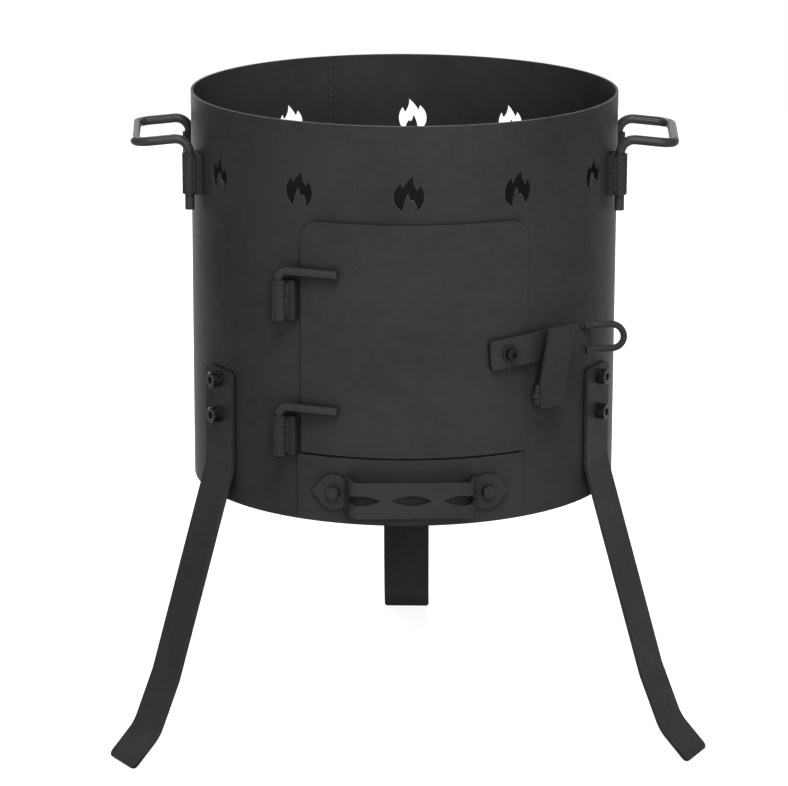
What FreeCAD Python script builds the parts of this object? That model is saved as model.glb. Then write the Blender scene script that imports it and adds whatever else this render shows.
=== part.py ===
import FreeCAD, Part
import math
import os

# Cauldron stove: a rolled sheet-steel drum on three bent legs, with a fire door, an ash drawer,
# two lift-out carrying handles and a loose fire grate. Millimetres, +Z up, front towards -Y.
# Angles are degrees round the drum, 0 at the front and positive towards +X.

# Drum
drum_diameter = 360.0
drum_wall = 2.0
drum_height = 331.0
stove_height = 548.0
seam_angle = -160.5
seam_bead_width = 5.0

# Flame cut-outs under the rim; the spacing leaves a wider gap at the seam
flame_count = 12
flame_spacing = 29.4
flame_height = 29.4
flame_width = 24.6
flame_tip_below_rim = 40.0
flame_turn = -0.8

# Base plate, ash drawer and its guides
base_plate_lift = 4.0
base_plate_thickness = 2.0
base_plate_clearance = 0.2
drawer_front_half_angle = 30.1
drawer_front_thickness = 2.5
drawer_front_bottom = 1.4
drawer_front_height = 54.8
drawer_overlap_side = 6.5
drawer_overlap_top = 8.0
pan_width = 144.0
pan_length = 286.0
pan_height = 36.0
pan_sheet = 1.5
pan_lift = 0.3
pan_tongue_width = 120.0
pan_front_gap = 12.0
guide_height = 12.0
guide_thickness = 4.0
guide_length = 220.0
guide_clearance = 1.0

# Drawer handle strap and the bolts that hold it
strap_height = 30.0
strap_thickness = 3.0
strap_reach = 20.0
strap_front_width = 99.0
strap_bend_radius = 5.0
strap_middle_above_edge = 26.3
strap_bend_to_bolt = 11.0
strap_neck_height = 21.0
strap_neck_length = 9.0
strap_tip_length = 19.5
strap_tip_width = 13.0
strap_slot_length = 32.0
strap_slot_height = 8.4
strap_slot_spacing = 42.0
drawer_bolt_angle = 19.8
drawer_bolt_diameter = 6.0
drawer_bolt_flats = 10.0
drawer_bolt_head = 4.0
drawer_bolt_length = 14.0
drawer_nut_height = 5.0

# Fire door
door_centre_angle = 1.0
door_half_angle = 30.1
door_thickness = 2.5
door_top_below_rim = 80.0
door_corner_radius = 16.0
door_gap_above_drawer = 2.0
door_overlap = 8.0

# Pin hinges: bent rods on the door, dropped into tubes on the drum
hinge_angle = -34.1
hinge_axis_radius = 190.0
hinge_rod_diameter = 7.0
hinge_arm_length = 51.0
hinge_bend_radius = 7.5
hinge_tube_diameter = 11.0
hinge_tube_length = 33.0
upper_hinge_below_door_top = 41.5
lower_hinge_above_door_bottom = 37.8
hinge_block_angle = 3.8
hinge_block_thickness = 7.0

# Latch bar, its pivot screw and the pull loop
latch_angle = 25.3
latch_above_door_bottom = 84.3
latch_tilt = 4.6
latch_bar_height = 25.0
latch_bar_thickness = 4.0
latch_bar_tail = 17.0
latch_bar_length = 77.0
latch_corner_radius = 3.0
latch_screw_diameter = 6.0
latch_screw_length = 16.0
latch_screw_head = 10.0
latch_screw_socket = 5.0
latch_washer_diameter = 13.0
latch_nut_flats = 10.0
latch_nut_height = 5.0
loop_rod_diameter = 5.5
loop_height = 26.0
loop_seat = 8.0
loop_length = 25.0
loop_bend_radius = 8.0
loop_bend_angle = 34.0

# Keeper strap that the latch bar drops behind
keeper_angle = 36.6
keeper_width = 27.0
keeper_thickness = 4.0
keeper_standoff = 12.4
keeper_block_width = 12.0
keeper_block_height = 18.0
keeper_height = 69.0
keeper_lean = 13.0
keeper_below_latch = 48.0
keeper_bead_width = 6.0

# Legs: flat bar bent three times and bolted to the drum
leg_angles = {"leg_front_left": -59.4, "leg_front_right": 61.0, "leg_rear": 177.2}
leg_width = 42.0
leg_thickness = 3.0
leg_top_above_drum_bottom = 112.0
leg_bend_above_drum_bottom = 29.5
leg_splay = 17.2
leg_knee_height = 70.0
leg_knee_splay = 23.0
leg_foot_height = 25.0
leg_foot_splay = 45.0
leg_bend_radius = 40.0
leg_corner_radius = 5.5
foot_flat_depth = 0.8
leg_upper_screw_above_drum_bottom = 102.8
leg_lower_screw_above_drum_bottom = 72.6
leg_screw_diameter = 8.0
leg_screw_length = 18.0
leg_screw_head = 13.0
leg_screw_socket = 6.0
leg_washer_diameter = 16.0
leg_nut_flats = 13.0
leg_nut_height = 6.5

# Carrying handles: bent rods standing in sleeves
handle_left_angle = -88.8
handle_right_angle = 85.7
handle_rod_diameter = 8.0
handle_half_spacing = 49.0
handle_reach = 226.5
handle_droop = 5.2
handle_arm_below_rim = 31.8
handle_bend_radius = 11.6
handle_end_below_sleeve = 13.5
sleeve_diameter = 12.0
sleeve_length = 34.0
sleeve_gap = 2.0
sleeve_block_angle = 3.4
sleeve_block_thickness = 5.0

# Fire grate and the lugs that carry it
grate_diameter = 320.0
grate_thickness = 6.0
grate_below_door_opening = 2.0
grate_bar_width = 10.0
grate_slot_width = 12.0
grate_rim_width = 16.0
lug_angles = (-110.0, -20.0, 70.0, 160.0)
lug_width = 24.0
lug_overlap = 14.0
lug_thickness = 4.0

# Sizes shared by the fasteners
washer_thickness = 1.6
screw_head_chamfer = 0.5

# Clearances
plate_clearance = 0.5
turning_clearance = 0.08
sleeve_clearance = 0.08
bolt_hole_clearance = 0.3
nut_clearance = 0.05
face_clearance = 0.3
contact_clearance = 0.02
cutter_margin = 6.0
match_tolerance = 0.001

# Worked-out sizes
drum_radius = drum_diameter / 2
drum_inner_radius = drum_radius - drum_wall
drum_bottom = stove_height - drum_height
leg_top_height = drum_bottom + leg_top_above_drum_bottom
leg_bend_height = drum_bottom + leg_bend_above_drum_bottom
leg_screw_rows = (leg_upper_screw_above_drum_bottom, leg_lower_screw_above_drum_bottom)
leg_screw_heights = [drum_bottom + row for row in leg_screw_rows]
plate_inner_radius = drum_radius + plate_clearance
base_plate_bottom = drum_bottom + base_plate_lift
base_plate_top = base_plate_bottom + base_plate_thickness
drawer_front_z = drum_bottom + drawer_front_bottom
drawer_front_top = drawer_front_z + drawer_front_height
drawer_front_outer = plate_inner_radius + drawer_front_thickness
drawer_opening_top = drawer_front_top - drawer_overlap_top
drawer_opening_half = drawer_front_half_angle - math.degrees(drawer_overlap_side / drum_radius)
drawer_middle_z = drawer_front_z + strap_middle_above_edge
door_bottom = drawer_front_top + door_gap_above_drawer
door_top = stove_height - door_top_below_rim
door_outer_radius = plate_inner_radius + door_thickness
door_left = door_centre_angle - door_half_angle
door_right = door_centre_angle + door_half_angle
door_overlap_angle = math.degrees(door_overlap / drum_radius)
door_opening_bottom = door_bottom + door_overlap
grate_top = door_opening_bottom - grate_below_door_opening
grate_bottom = grate_top - grate_thickness
latch_z = door_bottom + latch_above_door_bottom
latch_back_radius = door_outer_radius + face_clearance
latch_front_radius = latch_back_radius + latch_bar_thickness
up = FreeCAD.Vector(0, 0, 1)


def outward(angle):
    """Level direction pointing out of the drum at this angle."""
    turn = math.radians(angle)
    return FreeCAD.Vector(math.sin(turn), -math.cos(turn), 0)


def along(angle):
    """Level direction running round the drum, to the right as seen from outside."""
    turn = math.radians(angle)
    return FreeCAD.Vector(math.cos(turn), math.sin(turn), 0)


def on_drum(shape, angle, radius, height, roll=0.0):
    """Stands a shape drawn with X right, Y up and Z outward against the drum."""
    facing = FreeCAD.Rotation(along(angle), up, outward(angle), "ZXY")
    roll_turn = FreeCAD.Rotation(FreeCAD.Vector(0, 0, 1), roll)
    placed = shape.copy()
    placed.Placement = FreeCAD.Placement(outward(angle) * radius + up * height, facing * roll_turn)
    return placed


def flat_points(points):
    """Turns (x, y) pairs into points of the drawing plane."""
    return [FreeCAD.Vector(x, y, 0) for x, y in points]


def slab(points, thickness):
    """A flat plate with this outline, from the drawing plane outward."""
    corners = flat_points(points)
    outline = Part.makePolygon(corners + corners[:1])
    return Part.Face(outline).extrude(FreeCAD.Vector(0, 0, thickness))


def rectangle(left, right, bottom, top):
    """The four corners of a rectangle in the drawing plane."""
    return [(left, bottom), (right, bottom), (right, top), (left, top)]


def peg(diameter, length, start=0.0):
    """A round bar along Z that starts at this height."""
    return Part.makeCylinder(diameter / 2, length, FreeCAD.Vector(0, 0, start))


def hexagon_bar(flats, height, start=0.0, corner_up=True):
    """A hexagonal bar along Z."""
    corner_radius = flats / math.sqrt(3)
    first = 90.0 if corner_up else 60.0
    corners = []
    for k in range(6):
        turn = math.radians(first + 60.0 * k)
        corners.append((corner_radius * math.cos(turn), corner_radius * math.sin(turn)))
    bar = slab(corners, height)
    bar.translate(FreeCAD.Vector(0, 0, start))
    return bar


def cap_screw(diameter, length, head_diameter, socket_flats):
    """Socket cap screw whose head stands on the drawing plane and whose shank runs inward."""
    head_height = diameter
    head = peg(head_diameter, head_height)
    outer_edges = [edge for edge in head.Edges if edge.Vertexes[0].Point.z > head_height / 2]
    head = head.makeChamfer(screw_head_chamfer, outer_edges)
    socket = hexagon_bar(socket_flats, head_height / 2, head_height / 2)
    return head.cut(socket).fuse(peg(diameter, length, -length)).removeSplitter()


def flat_washer(diameter, screw_diameter, start):
    """Plain washer along Z."""
    hole = peg(screw_diameter + 2 * bolt_hole_clearance, washer_thickness, start)
    return peg(diameter, washer_thickness, start).cut(hole)


def hex_nut(flats, screw_diameter, height, start):
    """Hexagon nut along Z."""
    return hexagon_bar(flats, height, start).cut(peg(screw_diameter + 2 * nut_clearance, height, start))


def sector(inner, outer, from_angle, to_angle, bottom, top):
    """A piece of a curved wall between two radii, two angles and two heights."""
    corners = [(inner, bottom), (outer, bottom), (outer, top), (inner, top)]
    points = [outward(from_angle) * r + up * z for r, z in corners]
    face = Part.Face(Part.makePolygon(points + points[:1]))
    return face.revolve(FreeCAD.Vector(0, 0, 0), up, to_angle - from_angle)


def round_corners_at(plate, height, radius, thickness):
    """Rounds the corners of a curved plate that lie at this height."""
    edges = []
    for edge in plate.Edges:
        level = all(abs(v.Point.z - height) < match_tolerance for v in edge.Vertexes)
        if level and abs(edge.Length - thickness) < match_tolerance:
            edges.append(edge)
    return plate.makeFillet(radius, edges)


def bent_path(points, radius):
    """Straight runs through the points, joined by tangent arcs of one radius."""
    edges = []
    start = points[0]
    for before, corner, after in zip(points[:-2], points[1:-1], points[2:]):
        back = (before - corner).normalize()
        onward = (after - corner).normalize()
        half_turn = math.acos(max(-1.0, min(1.0, back.dot(onward)))) / 2
        setback = radius / math.tan(half_turn)
        enter = corner + back * setback
        leave = corner + onward * setback
        inward = (back + onward).normalize()
        centre = corner + inward * (radius / math.sin(half_turn))
        edges.append(Part.LineSegment(start, enter).toShape())
        edges.append(Part.Arc(enter, centre - inward * radius, leave).toShape())
        start = leave
    edges.append(Part.LineSegment(start, points[-1]).toShape())
    return Part.Wire(edges)


def bent_rod(points, bend_radius, diameter):
    """A round rod bent along these points."""
    path = bent_path(points, bend_radius)
    direction = points[1] - points[0]
    section = Part.Wire(Part.makeCircle(diameter / 2, points[0], direction))
    return path.makePipeShell([section], True, False)


def bent_strip(points, bend_radius, width, thickness, across):
    """A flat bar bent along these centre points; its width lies in the direction across."""
    path = bent_path(points, bend_radius)
    direction = (points[1] - points[0]).normalize()
    side = across * (width / 2)
    depth = direction.cross(across).normalize() * (thickness / 2)
    start = points[0]
    corners = [start - side - depth, start + side - depth, start + side + depth, start - side + depth]
    section = Part.makePolygon(corners + corners[:1])
    return path.makePipeShell([section], True, False)


def round_strip_end(strip, end, width, thickness, radius):
    """Rounds the two corners of a flat bar at one of its ends."""
    edges = []
    for edge in strip.Edges:
        near = edge.CenterOfMass.distanceToPoint(end) < width / 2 + match_tolerance
        if near and abs(edge.Length - thickness) < match_tolerance:
            edges.append(edge)
    return strip.makeFillet(radius, edges)


def flame_outline():
    """Three-tongued flame with a smaller flame left standing in it, foot at the drawing origin."""
    across = flame_width / 2
    tall = flame_height

    def at(x, y):
        return FreeCAD.Vector(x * across, y * tall, 0)

    left_foot, right_foot = at(-0.38, 0.0), at(0.54, 0.0)
    left_tip, middle_tip, right_tip = at(-0.52, 0.80), at(0.27, 1.0), at(0.73, 0.74)
    left_notch, right_notch = at(-0.42, 0.66), at(0.57, 0.59)
    inner_tip, inner_notch, inner_shoulder = at(-0.04, 0.51), at(0.13, 0.30), at(0.29, 0.33)
    edges = [
        Part.Arc(left_foot, at(-1.0, 0.39), left_tip),
        Part.LineSegment(left_tip, left_notch),
        Part.Arc(left_notch, at(-0.14, 0.83), middle_tip),
        Part.Arc(middle_tip, at(0.32, 0.78), right_notch),
        Part.LineSegment(right_notch, right_tip),
        Part.Arc(right_tip, at(1.0, 0.37), right_foot),
        Part.Arc(right_foot, at(0.49, 0.19), inner_shoulder),
        Part.LineSegment(inner_shoulder, inner_notch),
        Part.Arc(inner_notch, at(0.02, 0.39), inner_tip),
        Part.Arc(inner_tip, at(-0.31, 0.24), left_foot),
    ]
    return Part.Wire([edge.toShape() for edge in edges])


def make_drum():
    """Rolled drum wall with its openings, flame cut-outs and leg screw holes."""
    outer = Part.makeCylinder(drum_radius, drum_height, up * drum_bottom)
    inner = Part.makeCylinder(drum_inner_radius, drum_height, up * drum_bottom)
    wall = outer.cut(inner)
    reach_in = drum_inner_radius - cutter_margin
    reach_out = drum_radius + cutter_margin
    door_hole = sector(reach_in, reach_out, door_left + door_overlap_angle, door_right - door_overlap_angle,
                       door_opening_bottom, door_top - door_overlap)
    door_hole = round_corners_at(door_hole, door_top - door_overlap, door_corner_radius - door_overlap,
                                 reach_out - reach_in)
    drawer_hole = sector(reach_in, reach_out, -drawer_opening_half, drawer_opening_half,
                         base_plate_top, drawer_opening_top)
    cutters = [door_hole, drawer_hole]
    flame = Part.Face(flame_outline()).extrude(FreeCAD.Vector(0, 0, reach_out - reach_in))
    flame_foot = stove_height - flame_tip_below_rim - flame_height
    for k in range(flame_count):
        step = k - (flame_count - 1) // 2
        cutters.append(on_drum(flame, flame_turn + step * flame_spacing, reach_in, flame_foot))
    screw_hole = peg(leg_screw_diameter + 2 * bolt_hole_clearance, reach_out - reach_in)
    for angle in leg_angles.values():
        for height in leg_screw_heights:
            cutters.append(on_drum(screw_hole, angle, reach_in, height))
    return wall.cut(cutters)


def make_seam_weld():
    """Weld bead down the inside of the drum's seam."""
    length = stove_height - base_plate_top
    foot = outward(seam_angle) * drum_inner_radius + up * base_plate_top
    bead = Part.makeCylinder(seam_bead_width / 2, length, foot)
    bore = Part.makeCylinder(drum_inner_radius - face_clearance, length, up * base_plate_top)
    return bead.common(bore)


def make_base_plate():
    """Round floor of the drum."""
    radius = drum_inner_radius - base_plate_clearance
    return Part.makeCylinder(radius, base_plate_thickness, up * base_plate_bottom)


def make_drawer_guides():
    """Two bars on the base plate that keep the drawer straight."""
    gap_edge = pan_width / 2 + guide_clearance
    guides = []
    for side in (-1, 1):
        left = gap_edge if side > 0 else -gap_edge - guide_thickness
        corner = FreeCAD.Vector(left, -guide_length / 2, base_plate_top)
        guides.append(Part.makeBox(guide_thickness, guide_length, guide_height, corner))
    return Part.Compound(guides)


def make_grate_lugs():
    """Tabs welded to the drum wall under the grate."""
    lug_top = grate_bottom - contact_clearance
    bore = Part.makeCylinder(drum_inner_radius, lug_thickness, up * (lug_top - lug_thickness))
    inner_end = grate_diameter / 2 - lug_overlap
    tab = slab(rectangle(-lug_width / 2, lug_width / 2, -lug_thickness, 0), drum_radius - inner_end)
    return Part.Compound([on_drum(tab, angle, inner_end, lug_top).common(bore) for angle in lug_angles])


def make_fire_grate():
    """Round plate grate with parallel slots inside a solid rim."""
    radius = grate_diameter / 2
    plate = Part.makeCylinder(radius, grate_thickness, up * grate_bottom)
    field = Part.makeCylinder(radius - grate_rim_width, grate_thickness, up * grate_bottom)
    pitch = grate_bar_width + grate_slot_width
    count = int((radius - grate_rim_width - grate_slot_width) / pitch)
    slots = []
    for k in range(-count, count + 1):
        corner = FreeCAD.Vector(k * pitch - grate_slot_width / 2, -radius, grate_bottom)
        slots.append(Part.makeBox(grate_slot_width, 2 * radius, grate_thickness, corner).common(field))
    return plate.cut(slots)


def drawer_bolt_holes(diameter):
    """Round cutters along both drawer bolts."""
    cutter = peg(diameter, strap_reach + 2 * cutter_margin)
    start = drum_inner_radius - cutter_margin
    return [on_drum(cutter, side * drawer_bolt_angle, start, drawer_middle_z) for side in (-1, 1)]


def make_drawer_front():
    """Curved front plate of the ash drawer."""
    half = drawer_front_half_angle
    plate = sector(plate_inner_radius, drawer_front_outer, -half, half, drawer_front_z, drawer_front_top)
    return plate.cut(drawer_bolt_holes(drawer_bolt_diameter + 2 * bolt_hole_clearance))


def make_drawer_pan():
    """Folded ash tray whose floor runs forward to the front plate."""
    floor = base_plate_top + pan_lift
    bolt_end = drawer_front_outer + strap_thickness - drawer_bolt_length
    front = -(bolt_end - pan_front_gap) * math.cos(math.radians(drawer_bolt_angle))
    half = pan_width / 2
    outside = Part.makeBox(pan_width, pan_length, pan_height, FreeCAD.Vector(-half, front, floor))
    inside = Part.makeBox(pan_width - 2 * pan_sheet, pan_length - 2 * pan_sheet, pan_height,
                          FreeCAD.Vector(-half + pan_sheet, front + pan_sheet, floor + pan_sheet))
    tongue = Part.makeBox(pan_tongue_width, drum_radius, pan_sheet,
                          FreeCAD.Vector(-pan_tongue_width / 2, front - drum_radius, floor))
    reach = Part.makeCylinder(plate_inner_radius, pan_sheet, up * floor)
    return outside.cut(inside).fuse(tongue.common(reach)).removeSplitter()


def strap_end_waste(side):
    """What is cut from one end of the strap to leave a round tab with a narrow neck and a point."""
    neck = strap_neck_height / 2
    wide = strap_tip_width / 2
    base = math.sqrt((strap_height / 2) ** 2 - wide ** 2)
    outer_end = strap_tip_length + cutter_margin
    zone = slab(rectangle(-strap_neck_length, outer_end, -strap_height, strap_height), strap_reach)
    kept_neck = slab(rectangle(-strap_neck_length, 0, -neck, neck), strap_reach)
    point_outline = [(0, -wide), (base, -wide), (strap_tip_length, 0), (base, wide), (0, wide)]
    kept_point = slab(point_outline, strap_reach)
    waste = zone.cut([kept_neck, kept_point, peg(strap_height, strap_reach)])
    start = drawer_front_outer - strap_reach / 2
    return on_drum(waste, side * drawer_bolt_angle, start, drawer_middle_z, 0.0 if side > 0 else 180.0)


def make_drawer_handle():
    """Bent strap with lens-shaped slots and round, pointed ends lying on the drawer front."""
    middle = drawer_front_outer + contact_clearance + strap_thickness / 2
    front_y = -(drawer_front_outer + strap_reach - strap_thickness / 2)
    height = up * drawer_middle_z
    half_front = strap_front_width / 2 - strap_thickness / 2
    right_bolt = outward(drawer_bolt_angle) * middle
    inner_end = right_bolt - along(drawer_bolt_angle) * strap_bend_to_bolt
    right_tip = right_bolt + along(drawer_bolt_angle) * strap_tip_length
    right = [FreeCAD.Vector(half_front, front_y, 0), inner_end, right_tip]
    left = [FreeCAD.Vector(-p.x, p.y, 0) for p in reversed(right)]
    points = [p + height for p in left + right]
    strap = bent_strip(points, strap_bend_radius, strap_height, strap_thickness, up)
    bow = strap_slot_height / 2
    ends = [FreeCAD.Vector(-strap_slot_length / 2, 0, 0), FreeCAD.Vector(strap_slot_length / 2, 0, 0)]
    lens = Part.Wire([Part.Arc(ends[0], FreeCAD.Vector(0, bow, 0), ends[1]).toShape(),
                      Part.Arc(ends[1], FreeCAD.Vector(0, -bow, 0), ends[0]).toShape()])
    slot = on_drum(Part.Face(lens).extrude(FreeCAD.Vector(0, 0, strap_reach + cutter_margin)), 0,
                   drawer_front_outer, drawer_middle_z)
    cutters = drawer_bolt_holes(drawer_bolt_diameter + 2 * bolt_hole_clearance)
    cutters += [strap_end_waste(side) for side in (-1, 1)]
    for k in (-1, 0, 1):
        shifted = slot.copy()
        shifted.translate(FreeCAD.Vector(k * strap_slot_spacing, 0, 0))
        cutters.append(shifted)
    return strap.cut(cutters)


def at_drawer_bolts(shape, radius):
    """Copies of a shape at both drawer bolts."""
    copies = []
    for side in (-1, 1):
        copies.append(on_drum(shape, side * drawer_bolt_angle, radius, drawer_middle_z))
    return Part.Compound(copies)


def make_drawer_bolts():
    """Hexagon bolts through the strap ends and the drawer front."""
    seat = drawer_front_outer + 2 * contact_clearance + strap_thickness
    bolt = hexagon_bar(drawer_bolt_flats, drawer_bolt_head).fuse(
        peg(drawer_bolt_diameter, drawer_bolt_length, -drawer_bolt_length)).removeSplitter()
    return at_drawer_bolts(bolt, seat)


def make_drawer_nuts():
    """Nuts on the drawer bolts, behind the front plate."""
    corner = drawer_bolt_flats / math.sqrt(3)
    face = math.sqrt(plate_inner_radius ** 2 - corner ** 2) - contact_clearance
    nut = hex_nut(drawer_bolt_flats, drawer_bolt_diameter, drawer_nut_height, -drawer_nut_height)
    return at_drawer_bolts(nut, face)


def make_door_panel():
    """Curved door plate lying outside the drum."""
    plate = sector(plate_inner_radius, door_outer_radius, door_left, door_right, door_bottom, door_top)
    plate = round_corners_at(plate, door_top, door_corner_radius, door_thickness)
    hole = peg(latch_screw_diameter + 2 * bolt_hole_clearance, door_thickness + 2 * cutter_margin)
    return plate.cut(on_drum(hole, latch_angle, plate_inner_radius - cutter_margin, latch_z))


hinge_axis = outward(hinge_angle) * hinge_axis_radius


def hinge_tube_top(arm_height):
    """Top of the tube under a hinge arm, where the rod's bend ends."""
    return arm_height - hinge_bend_radius - face_clearance


def make_hinge_rod(arm_height):
    """Bent rod: the arm lies on the door and the pin drops into the tube."""
    touch_radius = door_outer_radius + contact_clearance + hinge_rod_diameter / 2
    touch_angle = hinge_angle + math.degrees(math.acos(touch_radius / hinge_axis_radius))
    pin_end = hinge_tube_top(arm_height) - hinge_tube_length
    points = [hinge_axis + up * pin_end, hinge_axis + up * arm_height,
              hinge_axis + along(touch_angle) * hinge_arm_length + up * arm_height]
    return bent_rod(points, hinge_bend_radius, hinge_rod_diameter)


def make_hinge_tube(arm_height):
    """Tube on the drum that the hinge pin turns in."""
    bottom = hinge_axis + up * (hinge_tube_top(arm_height) - hinge_tube_length)
    outer = Part.makeCylinder(hinge_tube_diameter / 2, hinge_tube_length, bottom)
    bore = Part.makeCylinder(hinge_rod_diameter / 2 + turning_clearance, hinge_tube_length, bottom)
    return outer.cut(bore)


def make_hinge_block(arm_height):
    """Welded pad that carries a hinge tube off the drum wall."""
    top = hinge_tube_top(arm_height)
    bottom = top - hinge_tube_length
    pad = sector(drum_radius, drum_radius + hinge_block_thickness, hinge_angle - hinge_block_angle / 2,
                 hinge_angle + hinge_block_angle, bottom, top)
    return pad.cut(Part.makeCylinder(hinge_tube_diameter / 2, hinge_tube_length, hinge_axis + up * bottom))


def make_latch_bar():
    """Flat bar that turns on the pivot screw."""
    half = latch_bar_height / 2
    bar = slab(rectangle(-latch_bar_tail, latch_bar_length, -half, half), latch_bar_thickness)
    corner_edges = [edge for edge in bar.Edges if abs(edge.Length - latch_bar_thickness) < match_tolerance]
    bar = bar.makeFillet(latch_corner_radius, corner_edges)
    bar = bar.cut(peg(latch_screw_diameter + 2 * turning_clearance, latch_bar_thickness))
    return on_drum(bar, latch_angle, latch_back_radius, latch_z, latch_tilt)


def make_latch_loop():
    """Rod loop welded to the end of the bar and bent outward for the fingers."""
    rod_radius = loop_rod_diameter / 2
    half = (loop_height - loop_rod_diameter) / 2
    seat = latch_bar_thickness + contact_clearance + rod_radius
    start = latch_bar_length - loop_seat
    bend = math.radians(loop_bend_angle)
    run = loop_length - half
    knee = FreeCAD.Vector(latch_bar_length, 0, seat)
    slope = FreeCAD.Vector(math.cos(bend), 0, math.sin(bend))
    turn_start = knee + slope * run
    edges = []
    for side in (1, -1):
        rise = FreeCAD.Vector(0, side * half, 0)
        leg = [FreeCAD.Vector(start, 0, seat) + rise, knee + rise, turn_start + rise]
        leg_edges = bent_path(leg, loop_bend_radius).Edges
        edges.append(leg_edges)
    crown = Part.Arc(turn_start + FreeCAD.Vector(0, half, 0), turn_start + slope * half,
                     turn_start - FreeCAD.Vector(0, half, 0)).toShape()
    path = Part.Wire(Part.sortEdges(edges[0] + [crown] + edges[1])[0])
    section_centre = FreeCAD.Vector(start, half, seat)
    section = Part.Wire(Part.makeCircle(rod_radius, section_centre, FreeCAD.Vector(1, 0, 0)))
    loop = path.makePipeShell([section], True, False)
    return on_drum(loop, latch_angle, latch_back_radius, latch_z, latch_tilt)


latch_washer_seat = latch_front_radius + face_clearance


def make_latch_screw():
    """Pivot screw through the washer, the bar and the door."""
    screw = cap_screw(latch_screw_diameter, latch_screw_length, latch_screw_head, latch_screw_socket)
    head_seat = latch_washer_seat + washer_thickness + contact_clearance
    return on_drum(screw, latch_angle, head_seat, latch_z)


def make_latch_washer():
    """Washer between the screw head and the latch bar."""
    washer = flat_washer(latch_washer_diameter, latch_screw_diameter, 0)
    return on_drum(washer, latch_angle, latch_washer_seat, latch_z)


def make_latch_nut():
    """Nut on the pivot screw, inside the door."""
    corner = latch_nut_flats / math.sqrt(3)
    face = math.sqrt(plate_inner_radius ** 2 - corner ** 2) - contact_clearance
    nut = hex_nut(latch_nut_flats, latch_screw_diameter, latch_nut_height, -latch_nut_height)
    return on_drum(nut, latch_angle, face, latch_z)


def keeper_profile_shape():
    """Keeper strap in its drawing: straight foot, then leaning away from the drum."""
    lean = math.tan(math.radians(keeper_lean))
    rise = keeper_height - keeper_block_height
    out = keeper_standoff
    back = [(out, 0.0), (out, keeper_block_height), (out + lean * rise, keeper_height)]
    front = [(x + keeper_thickness, y) for x, y in reversed(back)]
    points = [FreeCAD.Vector(-keeper_width / 2, y, x) for x, y in back + front]
    face = Part.Face(Part.makePolygon(points + points[:1]))
    return face.extrude(FreeCAD.Vector(keeper_width, 0, 0))


keeper_bottom = latch_z - keeper_below_latch


def make_latch_keeper():
    """Strap that holds the latch bar against the drum side."""
    return on_drum(keeper_profile_shape(), keeper_angle, drum_radius, keeper_bottom)


def make_keeper_block():
    """Spacer block between the drum and the foot of the keeper."""
    half = keeper_block_width / 2
    depth = keeper_standoff + cutter_margin
    block = slab(rectangle(-half, half, 0, keeper_block_height), depth)
    placed = on_drum(block, keeper_angle, drum_radius - cutter_margin, keeper_bottom)
    return placed.cut(Part.makeCylinder(drum_radius, stove_height))


def make_keeper_weld():
    """Weld beads where the block meets the drum."""
    beads = []
    drum_solid = Part.makeCylinder(drum_radius, stove_height)
    block = make_keeper_block()
    for side in (-1, 1):
        bead = Part.makeCylinder(keeper_bead_width / 2, keeper_block_height)
        edge = along(keeper_angle) * (side * keeper_block_width / 2)
        bead.translate(outward(keeper_angle) * drum_radius + edge + up * keeper_bottom)
        beads.append(bead.cut([drum_solid, block]))
    return Part.Compound(beads)


def make_leg(angle):
    """Flat bar leg, bent outward three times, with its foot cut level on the floor."""
    out = outward(angle)

    def at(radius, height):
        return out * radius + up * height

    def lower(point_radius, from_height, to_height, splay):
        return point_radius + (from_height - to_height) * math.tan(math.radians(splay))

    upright = drum_radius + contact_clearance + leg_thickness / 2
    knee = lower(upright, leg_bend_height, leg_knee_height, leg_splay)
    ankle = lower(knee, leg_knee_height, leg_foot_height, leg_knee_splay)
    drop = leg_thickness / 2 * math.sin(math.radians(leg_foot_splay)) - foot_flat_depth
    toe = lower(ankle, leg_foot_height, drop, leg_foot_splay)
    points = [at(upright, leg_top_height), at(upright, leg_bend_height), at(knee, leg_knee_height),
              at(ankle, leg_foot_height), at(toe, drop)]
    strip = bent_strip(points, leg_bend_radius, leg_width, leg_thickness, along(angle))
    strip = round_strip_end(strip, points[0], leg_width, leg_thickness, leg_corner_radius)
    strip = round_strip_end(strip, points[-1], leg_width, leg_thickness, leg_corner_radius)
    below = Part.makeBox(leg_width * 2, leg_width * 2, leg_width)
    below.translate(at(toe, -leg_width) - FreeCAD.Vector(leg_width, leg_width, 0))
    hole = peg(leg_screw_diameter + 2 * bolt_hole_clearance, leg_thickness + 2 * cutter_margin)
    holes = [on_drum(hole, angle, drum_radius - cutter_margin, height) for height in leg_screw_heights]
    return strip.cut([below] + holes)


def at_leg_screws(shape, radius):
    """Copies of a shape at every leg screw."""
    copies = []
    for angle in leg_angles.values():
        for height in leg_screw_heights:
            copies.append(on_drum(shape, angle, radius, height))
    return Part.Compound(copies)


leg_washer_face = math.sqrt(drum_inner_radius ** 2 - (leg_washer_diameter / 2) ** 2) - contact_clearance


def make_leg_screws():
    """Two cap screws through each leg and the drum."""
    screw = cap_screw(leg_screw_diameter, leg_screw_length, leg_screw_head, leg_screw_socket)
    return at_leg_screws(screw, drum_radius + 2 * contact_clearance + leg_thickness)


def make_leg_washers():
    """Washers inside the drum."""
    washer = flat_washer(leg_washer_diameter, leg_screw_diameter, -washer_thickness)
    return at_leg_screws(washer, leg_washer_face)


def make_leg_nuts():
    """Nuts inside the drum."""
    nut = hex_nut(leg_nut_flats, leg_screw_diameter, leg_nut_height, -leg_nut_height)
    return at_leg_screws(nut, leg_washer_face - washer_thickness - contact_clearance)


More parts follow.
